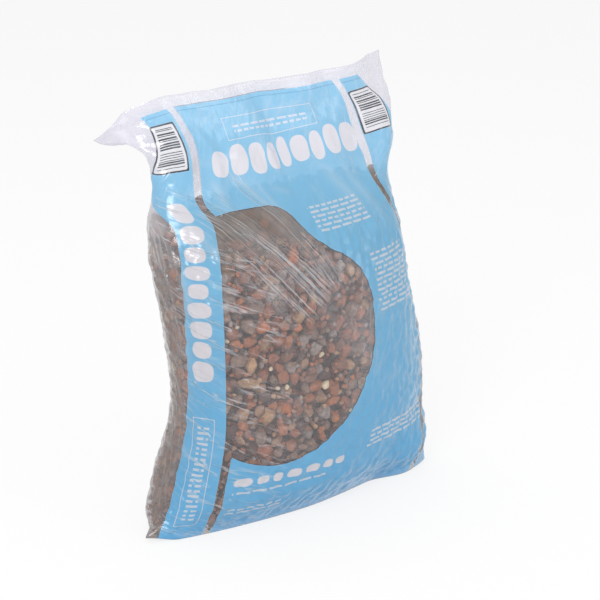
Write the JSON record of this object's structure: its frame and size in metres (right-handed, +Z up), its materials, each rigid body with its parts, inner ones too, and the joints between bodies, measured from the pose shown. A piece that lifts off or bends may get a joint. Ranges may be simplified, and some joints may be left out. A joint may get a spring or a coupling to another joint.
{
  "type": "bag of river rock",
  "caption": "Clear plastic-film bag with a printed front and an open window, standing upright, filled with loose river rock, its empty welded top leaning back.",
  "frame": {"origin": "on the floor, under the middle of the bag's box", "axes": "+Z up, the printed front with its window towards -Y, the bag's width along X"},
  "size_m": [0.4214, 0.1686, 0.485],
  "materials": {
    "printed_film": "clear low-density polyethylene film, printed sky blue in places, glossy and creased",
    "river_rock": "smooth water-worn pebbles, rust, brown, tan and grey, dry and matt"
  },
  "bodies": {
    "root": {"film_bag": "printed_film", "river_rock": "river_rock"}
  },
  "joints": []
}
